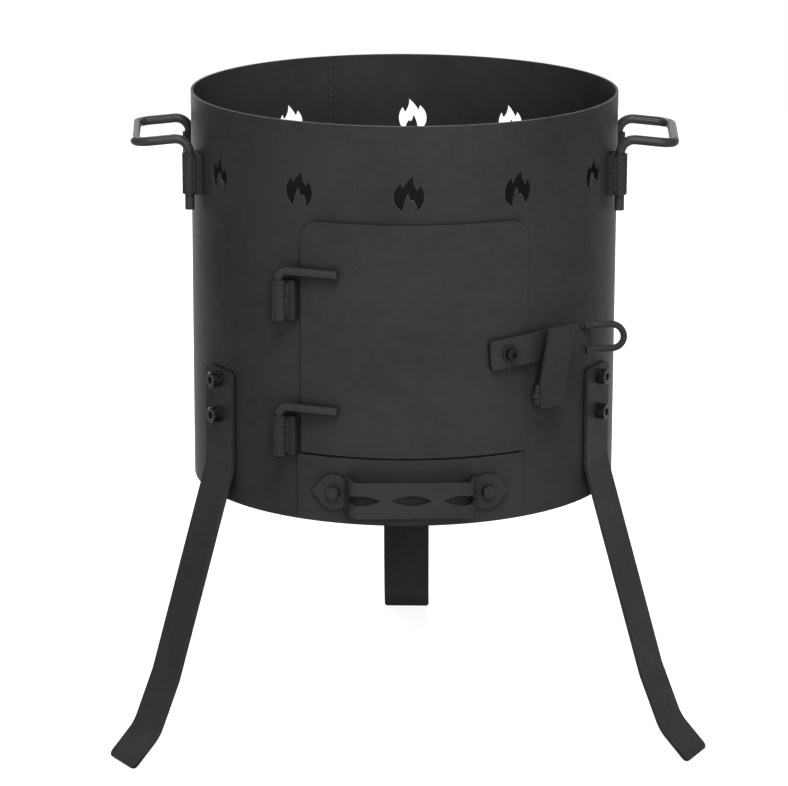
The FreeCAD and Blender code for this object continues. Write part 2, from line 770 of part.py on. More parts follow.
sleeve_radius = drum_radius + sleeve_gap + sleeve_diameter / 2
sleeve_reach = math.sqrt(sleeve_radius ** 2 - handle_half_spacing ** 2)
handle_arm_z = stove_height - handle_arm_below_rim
handle_bend_drop = handle_bend_radius * math.tan(math.radians((90 + handle_droop) / 2))
sleeve_top = handle_arm_z - handle_bend_drop - face_clearance
sleeve_bottom = sleeve_top - sleeve_length


def make_handle(angle):
    """Bent rod handle standing in its two sleeves, with its middle at this angle."""
    out = outward(angle)
    half_row = along(angle) * handle_half_spacing
    droop = (handle_reach - sleeve_reach) * math.tan(math.radians(handle_droop))
    end_z = sleeve_bottom - handle_end_below_sleeve
    middle = [out * sleeve_reach + up * end_z, out * sleeve_reach + up * handle_arm_z,
              out * handle_reach + up * (handle_arm_z - droop)]
    points = [point - half_row for point in middle]
    points += [point + half_row for point in reversed(middle)]
    return bent_rod(points, handle_bend_radius, handle_rod_diameter)


def sleeve_places(angle):
    """Feet of the two sleeves under the handle at this angle."""
    middle = outward(angle) * sleeve_reach + up * sleeve_bottom
    half_row = along(angle) * handle_half_spacing
    return [middle - half_row, middle + half_row]


def make_handle_sleeves(angle):
    """Short tubes that the handle ends stand in."""
    sleeves = []
    for foot in sleeve_places(angle):
        outer = Part.makeCylinder(sleeve_diameter / 2, sleeve_length, foot)
        bore = Part.makeCylinder(handle_rod_diameter / 2 + sleeve_clearance, sleeve_length, foot)
        sleeves.append(outer.cut(bore))
    return Part.Compound(sleeves)


def make_handle_blocks(angle):
    """Welded pads between the sleeves and the drum wall."""
    blocks = []
    for foot in sleeve_places(angle):
        foot_angle = math.degrees(math.atan2(foot.x, -foot.y))
        pad = sector(drum_radius, drum_radius + sleeve_block_thickness, foot_angle - sleeve_block_angle,
                     foot_angle + sleeve_block_angle, sleeve_bottom, sleeve_top)
        blocks.append(pad.cut(Part.makeCylinder(sleeve_diameter / 2, sleeve_length, foot)))
    return Part.Compound(blocks)


upper_arm_z = door_top - upper_hinge_below_door_top
lower_arm_z = door_bottom + lower_hinge_above_door_bottom
pieces = {
    "drum": make_drum(),
    "seam_weld": make_seam_weld(),
    "base_plate": make_base_plate(),
    "drawer_guides": make_drawer_guides(),
    "grate_lugs": make_grate_lugs(),
    "fire_grate": make_fire_grate(),
    "drawer_front": make_drawer_front(),
    "drawer_pan": make_drawer_pan(),
    "drawer_handle": make_drawer_handle(),
    "drawer_bolts": make_drawer_bolts(),
    "drawer_nuts": make_drawer_nuts(),
    "door_panel": make_door_panel(),
    "upper_hinge_rod": make_hinge_rod(upper_arm_z),
    "lower_hinge_rod": make_hinge_rod(lower_arm_z),
    "upper_hinge_tube": make_hinge_tube(upper_arm_z),
    "lower_hinge_tube": make_hinge_tube(lower_arm_z),
    "upper_hinge_block": make_hinge_block(upper_arm_z),
    "lower_hinge_block": make_hinge_block(lower_arm_z),
    "latch_bar": make_latch_bar(),
    "latch_loop": make_latch_loop(),
    "latch_screw": make_latch_screw(),
    "latch_washer": make_latch_washer(),
    "latch_nut": make_latch_nut(),
    "latch_keeper": make_latch_keeper(),
    "keeper_block": make_keeper_block(),
    "keeper_weld": make_keeper_weld(),
    "leg_screws": make_leg_screws(),
    "leg_washers": make_leg_washers(),
    "leg_nuts": make_leg_nuts(),
    "handle_left": make_handle(handle_left_angle),
    "handle_right": make_handle(handle_right_angle),
    "handle_sleeves_left": make_handle_sleeves(handle_left_angle),
    "handle_sleeves_right": make_handle_sleeves(handle_right_angle),
    "handle_blocks_left": make_handle_blocks(handle_left_angle),
    "handle_blocks_right": make_handle_blocks(handle_right_angle),
}
for name, angle in leg_angles.items():
    pieces[name] = make_leg(angle)

# The part's origin lies on the floor in the middle of the stove's box
whole = Part.Compound(list(pieces.values())).optimalBoundingBox(False, False)
to_origin = FreeCAD.Vector(-(whole.XMin + whole.XMax) / 2, -(whole.YMin + whole.YMax) / 2, 0)

os.makedirs("parts", exist_ok=True)
for name, shape in pieces.items():
    shape.translate(to_origin)
    shape.exportStep("parts/" + name + ".step")
    print(name, "solids", len(shape.Solids), "valid", shape.isValid(), "volume", round(shape.Volume, 1))
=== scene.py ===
import bmesh
import bpy
import math
import random
from mathutils import Matrix, Vector


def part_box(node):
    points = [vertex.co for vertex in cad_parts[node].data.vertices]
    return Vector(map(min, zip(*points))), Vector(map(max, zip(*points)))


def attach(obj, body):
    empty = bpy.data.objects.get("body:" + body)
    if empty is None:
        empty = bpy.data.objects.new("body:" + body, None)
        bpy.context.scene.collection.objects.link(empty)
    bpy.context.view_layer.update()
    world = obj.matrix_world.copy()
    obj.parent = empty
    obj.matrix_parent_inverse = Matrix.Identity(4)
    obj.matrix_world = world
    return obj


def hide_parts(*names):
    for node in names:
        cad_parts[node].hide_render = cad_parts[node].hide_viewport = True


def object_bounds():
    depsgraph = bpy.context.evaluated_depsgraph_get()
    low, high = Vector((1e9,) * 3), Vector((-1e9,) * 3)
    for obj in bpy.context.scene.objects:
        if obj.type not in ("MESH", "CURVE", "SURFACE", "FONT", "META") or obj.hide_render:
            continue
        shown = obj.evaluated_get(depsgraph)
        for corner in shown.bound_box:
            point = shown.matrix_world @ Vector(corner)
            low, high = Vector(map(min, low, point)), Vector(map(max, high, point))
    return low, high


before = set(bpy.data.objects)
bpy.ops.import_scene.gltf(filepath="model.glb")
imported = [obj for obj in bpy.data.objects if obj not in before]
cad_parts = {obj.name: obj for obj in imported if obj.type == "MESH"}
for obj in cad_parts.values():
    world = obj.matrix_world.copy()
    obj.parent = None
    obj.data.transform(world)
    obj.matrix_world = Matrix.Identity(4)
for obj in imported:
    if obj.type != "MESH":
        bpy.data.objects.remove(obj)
cad_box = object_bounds()

# Drum: the stove's body, 2 mm sheet steel cut out flat, rolled to a cylinder and welded at one seam.
# It is sprayed inside and out with satin black stove paint, which lies thin on the cut edges and is rubbed at
# the rim, where the cauldron sits; a painted highlight also lightens these edges and the rim. Painted shade
# darkens it inside, deeper below the rim.

drum_low, drum_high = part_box("drum")
drum_axis = (drum_low + drum_high) / 2
drum_radius = (drum_high.x - drum_low.x) / 2
drum_wall = 0.002
rim_height = drum_high.z


def outward(angle):
    """Level direction out of the drum at this angle, 0 at the front and positive towards +X."""
    turn = math.radians(angle)
    return Vector((math.sin(turn), -math.cos(turn), 0))


def on_drum(angle, radius, height):
    """The point at this angle, distance from the drum's axis and height."""
    place = outward(angle) * radius
    return Vector((drum_axis.x + place.x, drum_axis.y + place.y, height))


def angle_on_drum(point):
    """The angle round the drum of a point."""
    return math.degrees(math.atan2(point.x - drum_axis.x, drum_axis.y - point.y))


def node_group(name, inputs, outputs):
    """An empty shader group with these named sockets, what it is given and what it has to fill."""
    group = bpy.data.node_groups.new(name, "ShaderNodeTree")
    for label, kind, value in inputs:
        socket = group.interface.new_socket(label, in_out="INPUT", socket_type=kind)
        socket.default_value = value
    for label, kind in outputs:
        group.interface.new_socket(label, in_out="OUTPUT", socket_type=kind)
    start = group.nodes.new("NodeGroupInput")
    end = group.nodes.new("NodeGroupOutput")
    return group, start.outputs, end.inputs


def noise(tree, coordinates, scale, detail):
    """Cloudy noise on these coordinates; the scale is in cells per metre."""
    texture = tree.nodes.new("ShaderNodeTexNoise")
    texture.inputs["Scale"].default_value = scale
    texture.inputs["Detail"].default_value = detail
    tree.links.new(coordinates, texture.inputs["Vector"])
    return texture.outputs["Fac"]


def spread(tree, value, low, high, to_low, to_high):
    """Stretches a value from one range to another and clamps it there."""
    stretch = tree.nodes.new("ShaderNodeMapRange")
    stretch.inputs["From Min"].default_value = low
    stretch.inputs["From Max"].default_value = high
    tree.links.new(value, stretch.inputs["Value"])
    for label, end in (("To Min", to_low), ("To Max", to_high)):
        if isinstance(end, bpy.types.NodeSocket):
            tree.links.new(end, stretch.inputs[label])
        else:
            stretch.inputs[label].default_value = end
    return stretch.outputs["Result"]


def reckon(tree, operation, first, second):
    """One step of arithmetic on two values, each a socket or a number."""
    step = tree.nodes.new("ShaderNodeMath")
    step.operation = operation
    for socket, value in zip(step.inputs, (first, second)):
        if isinstance(value, bpy.types.NodeSocket):
            tree.links.new(value, socket)
        else:
            socket.default_value = value
    return step.outputs["Value"]


def blend_colour(tree, share, first, second):
    """Mixes two colours, each a socket or a colour, by a share."""
    mix = tree.nodes.new("ShaderNodeMix")
    mix.data_type = "RGBA"
    tree.links.new(share, mix.inputs["Factor"])
    colour_inputs = [socket for socket in mix.inputs if socket.type == "RGBA"]
    for socket, value in zip(colour_inputs, (first, second)):
        if isinstance(value, bpy.types.NodeSocket):
            tree.links.new(value, socket)
        else:
            socket.default_value = value
    return next(socket for socket in mix.outputs if socket.type == "RGBA")


def make_paint_film():
    """Sprayed stove paint: dry grain, wider orange peel, and faint patches and clouds of a thicker coat."""
    group, given, result = node_group(
        "paint_film",
        [("Thin Coat", "NodeSocketColor", (0.03, 0.03, 0.03, 1)),
         ("Thick Coat", "NodeSocketColor", (0.02, 0.02, 0.02, 1)),
         ("Dullness", "NodeSocketFloat", 0.5),
         ("Dullness Spread", "NodeSocketFloat", 0.1)],
        [("Colour", "NodeSocketColor"), ("Roughness", "NodeSocketFloat"), ("Height", "NodeSocketFloat")])
    place = group.nodes.new("ShaderNodeTexCoord").outputs["Object"]
    grain = noise(group, place, scale=1500.0, detail=2.0)
    peel = noise(group, place, scale=420.0, detail=2.0)
    patches = noise(group, place, scale=75.0, detail=4.0)
    clouds = noise(group, place, scale=9.0, detail=4.0)
    speckle_depth = 0.35
    patch_depth = 0.22
    thickness = spread(group, clouds, 0.3, 0.7, 0.0, 1.0)
    speckle = spread(group, grain, 0.35, 0.65, 0.0, speckle_depth)
    patchy = spread(group, patches, 0.3, 0.7, -patch_depth, patch_depth)
    share = reckon(group, "ADD", reckon(group, "SUBTRACT", thickness, speckle), patchy)
    group.links.new(blend_colour(group, share, given["Thin Coat"], given["Thick Coat"]), result["Colour"])
    cloud_dullness = reckon(group, "MULTIPLY", clouds, 0.6)
    grain_dullness = reckon(group, "MULTIPLY", grain, 0.4)
    uneven = reckon(group, "SUBTRACT", reckon(group, "ADD", cloud_dullness, grain_dullness), 0.5)
    shift = reckon(group, "MULTIPLY", uneven, given["Dullness Spread"])
    group.links.new(reckon(group, "ADD", given["Dullness"], shift), result["Roughness"])
    grain_height = reckon(group, "MULTIPLY", grain, 0.45)
    group.links.new(reckon(group, "ADD", grain_height, peel), result["Height"])
    return group


def make_edge_wear_and_highlight():
    """Lighter along the corners of a piece: paint thin or rubbed through there, and a painted highlight on the
    corners.
    """
    group, given, result = node_group(
        "edge_wear_and_highlight",
        [("Reach", "NodeSocketFloat", 0.0008), ("Amount", "NodeSocketFloat", 0.5)],
        [("Mask", "NodeSocketFloat")])
    rounded = group.nodes.new("ShaderNodeBevel")
    rounded.samples = 6
    group.links.new(given["Reach"], rounded.inputs["Radius"])
    surface = group.nodes.new("ShaderNodeNewGeometry")
    facing = group.nodes.new("ShaderNodeVectorMath")
    facing.operation = "DOT_PRODUCT"
    group.links.new(rounded.outputs["Normal"], facing.inputs[0])
    group.links.new(surface.outputs["Normal"], facing.inputs[1])
    turned_little, turned_far = 0.985, 0.80
    corner = spread(group, facing.outputs["Value"], turned_little, turned_far, 0.0, 1.0)
    place = group.nodes.new("ShaderNodeTexCoord").outputs["Object"]
    patches = spread(group, noise(group, place, scale=90.0, detail=3.0), 0.35, 0.62, 0.25, 1.0)
    worn_and_lit_corners = reckon(group, "MULTIPLY", corner, patches)
    group.links.new(reckon(group, "MULTIPLY", worn_and_lit_corners, given["Amount"]), result["Mask"])
    return group


def make_crevice_shade():
    """Painted shade in corners and narrow gaps, darker the less open sky a point sees."""
    group, given, result = node_group(
        "painted_crevice_shade",
        [("Reach", "NodeSocketFloat", 0.012), ("Amount", "NodeSocketFloat", 0.6)],
        [("Mask", "NodeSocketFloat")])
    open_sky = group.nodes.new("ShaderNodeAmbientOcclusion")
    open_sky.samples = 8
    group.links.new(given["Reach"], open_sky.inputs["Distance"])
    clear, closed = 0.92, 0.35
    shut_in = spread(group, open_sky.outputs["AO"], clear, closed, 0.0, 1.0)
    group.links.new(reckon(group, "MULTIPLY", shut_in, given["Amount"]), result["Mask"])
    return group


paint_film = make_paint_film()
edge_wear_and_highlight = make_edge_wear_and_highlight()
painted_crevice_shade = make_crevice_shade()
paint_thin_coat = (0.0262, 0.0261, 0.0265, 1)
paint_thick_coat = (0.0190, 0.0189, 0.0193, 1)
# Corners lighten towards this colour, partly for worn paint and partly as a painted highlight.
worn_and_highlit_edge_colour = (0.15, 0.15, 0.152, 1)
# Painted shade in corners and gaps darkens the paint towards this colour.
painted_shade_colour = (0.0034, 0.0034, 0.0034, 1)
painted_shade_in_gaps = 0.70
bump_strength = 0.6
paint_unevenness = 0.16
# Over these depths below the rim, the worn paint and painted highlight grow stronger.
rim_lightening_starts_below_rim = 0.008
rim_lightening_full_below_rim = 0.004
# Painted shade inside the drum grows over these depths below the rim.
inside_shade_starts_below_rim = 0.03
inside_shade_full_below_rim = 0.13


def place_group(material, group, **values):
    """Puts a shader group into a material with its own values and returns its outputs."""
    node = material.node_tree.nodes.new("ShaderNodeGroup")
    node.node_tree = group
    for label, value in values.items():
        node.inputs[label.replace("_", " ")].default_value = value
    return node.outputs


def new_material(name):
    """An empty node material, its tree and its Principled shader."""
    material = bpy.data.materials.new(name)
    material.use_nodes = True
    return material, material.node_tree, material.node_tree.nodes["Principled BSDF"]


def add_bump(tree, shader, height, depth):
    """Raises the surface by a height of 0 to 1 over this depth in metres."""
    bump = tree.nodes.new("ShaderNodeBump")
    bump.inputs["Strength"].default_value = bump_strength
    bump.inputs["Distance"].default_value = depth
    tree.links.new(height, bump.inputs["Height"])
    tree.links.new(bump.outputs["Normal"], shader.inputs["Normal"])


def stove_paint(name, dullness, gloss, wear_and_highlight_reach, wear_and_highlight_amount, shade_reach, grain_depth,
                rim_wear_and_highlight=None, inside_shade=0.0):
    """Satin black stove paint over steel, lighter along the corners with thin paint and a painted highlight,
    darker in gaps with painted shade.

    The drum's rim gets more of the worn paint and painted highlight,
    and painted shade darkens the drum inside, deeper below the rim.
    """
    material, tree, shader = new_material(name)
    film = place_group(material, paint_film, Thin_Coat=paint_thin_coat, Thick_Coat=paint_thick_coat,
                       Dullness=dullness, Dullness_Spread=paint_unevenness)
    # Corners lightened: partly thin or rubbed paint, partly a painted highlight.
    edge_lightening = place_group(material, edge_wear_and_highlight, Reach=wear_and_highlight_reach, Amount=wear_and_highlight_amount)
    # Painted shade: the base colour darkens where little open sky is seen, in corners and narrow gaps.
    gap_shade = place_group(material, painted_crevice_shade, Reach=shade_reach, Amount=painted_shade_in_gaps)
    dark = gap_shade["Mask"]
    if rim_wear_and_highlight is not None:
        place = tree.nodes.new("ShaderNodeSeparateXYZ")
        tree.links.new(tree.nodes.new("ShaderNodeTexCoord").outputs["Object"], place.inputs["Vector"])
        height = place.outputs["Z"]
        # At the rim, the worn paint and its painted highlight grow stronger towards the top.
        amount = spread(tree, height, rim_height - rim_lightening_starts_below_rim, rim_height - rim_lightening_full_below_rim,
                        wear_and_highlight_amount, rim_wear_and_highlight)
        tree.links.new(amount, edge_lightening["Mask"].node.inputs["Amount"])
        # Painted shade inside the drum: the wall's inner face darkens, deeper below the rim.
        sideways = reckon(tree, "POWER", reckon(tree, "SUBTRACT", place.outputs["X"], drum_axis.x), 2.0)
        forwards = reckon(tree, "POWER", reckon(tree, "SUBTRACT", place.outputs["Y"], drum_axis.y), 2.0)
        radius = reckon(tree, "SQRT", reckon(tree, "ADD", sideways, forwards), 0.0)
        inside = spread(tree, radius, drum_radius - 0.75 * drum_wall, drum_radius - 0.25 * drum_wall, 1.0, 0.0)
        inside_shade_by_depth = spread(tree, height, rim_height - inside_shade_starts_below_rim,
                               rim_height - inside_shade_full_below_rim, 0.0, inside_shade)
        dark = reckon(tree, "MAXIMUM", dark, reckon(tree, "MULTIPLY", inside, inside_shade_by_depth))
    colour = blend_colour(tree, edge_lightening["Mask"], film["Colour"], worn_and_highlit_edge_colour)
    tree.links.new(blend_colour(tree, dark, colour, painted_shade_colour), shader.inputs["Base Color"])
    tree.links.new(film["Roughness"], shader.inputs["Roughness"])
    shader.inputs["Specular IOR Level"].default_value = gloss
    add_bump(tree, shader, film["Height"], grain_depth)
    return material


def dress(name, finish, corner_radius=None):
    """Gives a node its finish and, where a radius is given, breaks its sharp corners by it."""
    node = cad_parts[name]
    node.material_slots[0].material = finish
    if corner_radius is None:
        return
    join = node.modifiers.new("joined_faces", "WELD")
    join.merge_threshold = 1e-6
    broken = node.modifiers.new("broken_corners", "BEVEL")
    broken.width = corner_radius
    broken.segments = 2
    broken.limit_method = "ANGLE"
    broken.angle_limit = math.radians(35)
    broken.use_clamp_overlap = False
    even = node.modifiers.new("even_shading", "WEIGHTED_NORMAL")
    even.weight = 100


sheet_paint = stove_paint("sheet_steel_paint", dullness=0.42, gloss=0.018, wear_and_highlight_reach=0.0011, wear_and_highlight_amount=0.30,
                          shade_reach=0.010, grain_depth=0.00006, rim_wear_and_highlight=0.75, inside_shade=0.32)
dress("drum", sheet_paint)

# Seam weld: the bead that closes the rolled drum, laid by hand up the inside of the wall in one pass.
# It keeps the ripples of the arc and is painted over with the drum.

weld_paint = stove_paint("weld_bead_paint", dullness=0.50, gloss=0.03, wear_and_highlight_reach=0.0006, wear_and_highlight_amount=0.05,
                         shade_reach=0.016, grain_depth=0.00010)


def straight(start, end):
    """The straight route between two points, as a function of the share travelled."""
    return lambda share: start.lerp(end, share)


def lay_bead(mesh, route, facing, width, height, ripple_depth, seed):
    """Adds a bead of weld metal along a route, its crown towards facing, dabbed on in overlapping ripples."""
    ripple = 0.0026
    shortest_dab, longest_dab = 0.5, 1.6
    smallest_dab, largest_dab = 0.66, 1.22
    wander = 0.09
    spatter = 0.5
    trail = 0.4
    rows_per_ripple = 6
    section_sides = 14
    sink = 0.0003
    dice = random.Random(seed)
    steps = 40
    length = sum((route((k + 1) / steps) - route(k / steps)).length for k in range(steps))
    rows = max(10, round(length / ripple * rows_per_ripple))
    starts = [0.0]
    while starts[-1] <= length:
        starts.append(starts[-1] + ripple * dice.uniform(shortest_dab, longest_dab))
    dabs = [dice.uniform(smallest_dab, largest_dab) for _ in starts]
    drift = [dice.uniform(-wander, wander) * width for _ in starts]
    dab = 0
    rings = []
    for row in range(rows + 1):
        share = row / rows
        travelled = share * length
        middle = route(share)
        onward = (route(min(1, share + 0.01)) - route(max(0, share - 0.01))).normalized()
        crown = facing(middle)
        crown = (crown - onward * crown.dot(onward)).normalized()
        side = onward.cross(crown)
        while travelled >= starts[dab + 1]:
            dab += 1
        within = (travelled - starts[dab]) / (starts[dab + 1] - starts[dab])
        size = dabs[dab] * (1 - within) + dabs[dab + 1] * within
        sway = drift[dab] * (1 - within) + drift[dab + 1] * within
        to_end = min(travelled, length - travelled) / (width / 2)
        taper = 1.0 if to_end >= 1 else max(0.1, math.sqrt(1 - (1 - to_end) ** 2))
        ring = []
        for corner in range(section_sides):
            turn = 2 * math.pi * corner / section_sides
            across = math.cos(turn)
            rise = math.sin(turn)
            if rise > 0:
                wave = math.sin(2 * math.pi * (within + trail * across ** 2)) + dice.uniform(-spatter, spatter)
                lift = height * (size + ripple_depth * wave) * rise * taper
            else:
                lift = sink * rise
            spot = middle + side * (across * width / 2 * size * taper + sway) + crown * lift
            ring.append(mesh.verts.new(spot))
        rings.append(ring)
    for here, there in zip(rings, rings[1:]):
        for corner in range(section_sides):
            following = (corner + 1) % section_sides
            mesh.faces.new((here[corner], here[following], there[following], there[corner]))
    mesh.faces.new(reversed(rings[0]))
    mesh.faces.new(rings[-1])


def weld(name, body, runs, finish):
    """A piece made of one or more beads, each run its route, facing, width, height, ripple depth and seed."""
    mesh = bmesh.new()
    for run in runs:
        lay_bead(mesh, *run)
    bmesh.ops.recalc_face_normals(mesh, faces=mesh.faces)
    data = bpy.data.meshes.new(name)
    mesh.to_mesh(data)
    mesh.free()
    data.shade_smooth()
    data.materials.append(finish)
    bead = bpy.data.objects.new(name, data)
    bpy.context.scene.collection.objects.link(bead)
    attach(bead, body)
    return bead


def from_axis(point):
    """Level direction away from the drum's axis at a point."""
    return outward(angle_on_drum(point))


seam_low, seam_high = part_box("seam_weld")
seam_angle = angle_on_drum((seam_low + seam_high) / 2)
seam_foot = drum_radius - drum_wall
seam_route = straight(on_drum(seam_angle, seam_foot, seam_low.z), on_drum(seam_angle, seam_foot, seam_high.z))
seam_width, seam_height, seam_ripple = 0.0048, 0.0008, 0.14
seam_run = (seam_route, lambda point: -from_axis(point), seam_width, seam_height, seam_ripple, 1)
seam_bead = weld("seam_bead", "stove", [seam_run], weld_paint)
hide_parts("seam_weld")

# Base plate, drawer guides and grate lugs: a round sheet-steel floor, two flat-bar runners on it and
# four flat-bar lugs, welded inside the drum and painted with it.

bar_paint = stove_paint("flat_bar_paint", dullness=0.45, gloss=0.022, wear_and_highlight_reach=0.0004, wear_and_highlight_amount=0.30,
                        shade_reach=0.025, grain_depth=0.00007)
dress("base_plate", sheet_paint)
dress("drawer_guides", bar_paint, 0.0005)
dress("grate_lugs", bar_paint, 0.0004)

# Fire grate: a loose round of 6 mm hot-rolled plate with sawn slots, which lies on the lugs.
# It is left bare, blue-grey with mill scale.


def make_steel_scale():
    """Blotchy skin of hot-rolled or blackened steel."""
    group, given, result = node_group(
        "steel_scale",
        [("Dark Scale", "NodeSocketColor", (0.04, 0.04, 0.045, 1)),
         ("Light Scale", "NodeSocketColor", (0.08, 0.08, 0.085, 1)),
         ("Blotches", "NodeSocketFloat", 60.0),
         ("Dullness", "NodeSocketFloat", 0.45)],
        [("Colour", "NodeSocketColor"), ("Roughness", "NodeSocketFloat"), ("Height", "NodeSocketFloat")])
    place = group.nodes.new("ShaderNodeTexCoord").outputs["Object"]
    blotches = noise(group, place, scale=60.0, detail=5.0)
    group.links.new(given["Blotches"], blotches.node.inputs["Scale"])
    pits = noise(group, place, scale=1100.0, detail=3.0)
    share = spread(group, blotches, 0.35, 0.65, 0.0, 1.0)
    group.links.new(blend_colour(group, share, given["Dark Scale"], given["Light Scale"]), result["Colour"])
    shift = reckon(group, "MULTIPLY", reckon(group, "SUBTRACT", blotches, 0.5), 0.5)
    group.links.new(reckon(group, "ADD", given["Dullness"], shift), result["Roughness"])
    group.links.new(reckon(group, "ADD", reckon(group, "MULTIPLY", pits, 0.6), blotches), result["Height"])
    return group


steel_scale = make_steel_scale()


def scaled_steel(name, dark, light, blotches, dullness, gloss, edge_wear_and_highlight_colour, metal):
    """Unpainted steel under a dark skin with so many blotches to the metre, lighter along its corners with wear
    and a painted highlight.
    """
    material, tree, shader = new_material(name)
    skin = place_group(material, steel_scale, Dark_Scale=dark, Light_Scale=light, Blotches=blotches,
                       Dullness=dullness)
    # Corners lightened: partly worn bright, partly a painted highlight.
    edge_lightening = place_group(material, edge_wear_and_highlight, Reach=0.0006, Amount=0.7)
    tree.links.new(blend_colour(tree, edge_lightening["Mask"], skin["Colour"], edge_wear_and_highlight_colour), shader.inputs["Base Color"])
    tree.links.new(skin["Roughness"], shader.inputs["Roughness"])
    shader.inputs["Specular IOR Level"].default_value = gloss
    shader.inputs["Metallic"].default_value = metal
    pit_depth = 0.00004
    add_bump(tree, shader, skin["Height"], pit_depth)
    return material


grate_plate = scaled_steel("grate_mill_scale", dark=(0.035, 0.036, 0.040, 1), light=(0.075, 0.077, 0.083, 1),
                           blotches=45.0, dullness=0.48, gloss=0.5, edge_wear_and_highlight_colour=(0.22, 0.22, 0.23, 1), metal=0.6)
dress("fire_grate", grate_plate, 0.0006)

# Ash drawer: a curved front plate with a folded sheet-steel pan behind it, which slides on the guides.
# A slotted strap, bent from flat bar, is its handle; two bolts with nuts hold it to the front.

fastener_black = scaled_steel("blackened_fastener", dark=(0.0035, 0.0035, 0.0037, 1),
                              light=(0.0095, 0.0095, 0.0098, 1), blotches=240.0, dullness=0.33, gloss=0.105,
                              edge_wear_and_highlight_colour=(0.12, 0.12, 0.124, 1), metal=0.0)
plate_paint = stove_paint("front_plate_paint", dullness=0.42, gloss=0.018, wear_and_highlight_reach=0.0008, wear_and_highlight_amount=0.32,
                          shade_reach=0.035, grain_depth=0.00006)
dress("drawer_front", plate_paint)
dress("drawer_pan", sheet_paint, 0.0002)
dress("drawer_handle", bar_paint, 0.0005)
dress("drawer_bolts", bar_paint, 0.0003)
dress("drawer_nuts", fastener_black, 0.0002)

# Fire door: a rolled plate of sheet steel a little larger than its opening, with round top corners.
# It hangs on the hinge rods and lies 0.5 mm off the drum.

dress("door_panel", plate_paint)

# Hinges: two bent rods are welded to the door, and their ends drop into tubes on the drum.
# Each tube stands on a flat block, with a bead of weld down both of its sides.

rod_paint = stove_paint("round_rod_paint", dullness=0.27, gloss=0.09, wear_and_highlight_reach=0.0006, wear_and_highlight_amount=0.20,
                        shade_reach=0.010, grain_depth=0.00005)
# The beads beside the tubes and sleeves take painted shade over a wide reach, so they sit dark in their
# corners.
tube_weld_paint = stove_paint("tube_weld_paint", dullness=0.50, gloss=0.03, wear_and_highlight_reach=0.0006, wear_and_highlight_amount=0.05,
                              shade_reach=0.05, grain_depth=0.00010)


def corners(name):
    """The corner points of a node's mesh."""
    return [vertex.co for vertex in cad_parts[name].data.vertices]


def beads_beside(tube, block, widths, seed):
    """Two upright beads between a tube and the block behind it, both given as corner points."""
    bead_height, bead_ripple = 0.0017, 0.14
    short_of_top, short_of_bottom = 0.002, 0.001
    least_aside = 0.75
    out = from_axis(sum(tube, Vector()) / len(tube))
    sideways = Vector((-out.y, out.x, 0))
    spans = [corner.dot(sideways) for corner in tube]
    reaches = [corner.dot(out) for corner in tube]
    tube_middle = (min(spans) + max(spans)) / 2
    tube_radius = (max(spans) - min(spans)) / 2
    face = max(corner.dot(out) for corner in block)
    face_to_tube = (min(reaches) + max(reaches)) / 2 - face
    aside = max(least_aside * tube_radius, math.sqrt(max(0, tube_radius ** 2 - face_to_tube ** 2)))
    top = min(max(corner.z for corner in tube), max(corner.z for corner in block)) - short_of_top
    bottom = max(min(corner.z for corner in tube), min(corner.z for corner in block)) + short_of_bottom
    runs = []
    for side, bead_width in zip((1, -1), widths):
        foot = out * face + sideways * (tube_middle + side * aside)
        route = straight(foot + Vector((0, 0, top)), foot + Vector((0, 0, bottom)))
        slant = out + sideways * side
        facing = lambda point, slant=slant: slant
        runs.append((route, facing, bead_width, bead_height, bead_ripple, seed + side))
    return runs


hinge_bead_widths = (0.0062, 0.0055)
for number, level in enumerate(("upper", "lower")):
    dress(level + "_hinge_rod", rod_paint)
    dress(level + "_hinge_tube", bar_paint)
    dress(level + "_hinge_block", bar_paint, 0.0005)
    tube = corners(level + "_hinge_tube")
    block = corners(level + "_hinge_block")
    runs = beads_beside(tube, block, hinge_bead_widths, 10 + 4 * number)
    weld(level + "_hinge_weld", "stove", runs, tube_weld_paint)

# Latch: a flat bar that turns on a cap screw through the door, with a washer under the screw's head,
# a nut inside, and a pull loop of bent rod welded to its end with small beads round both rods.

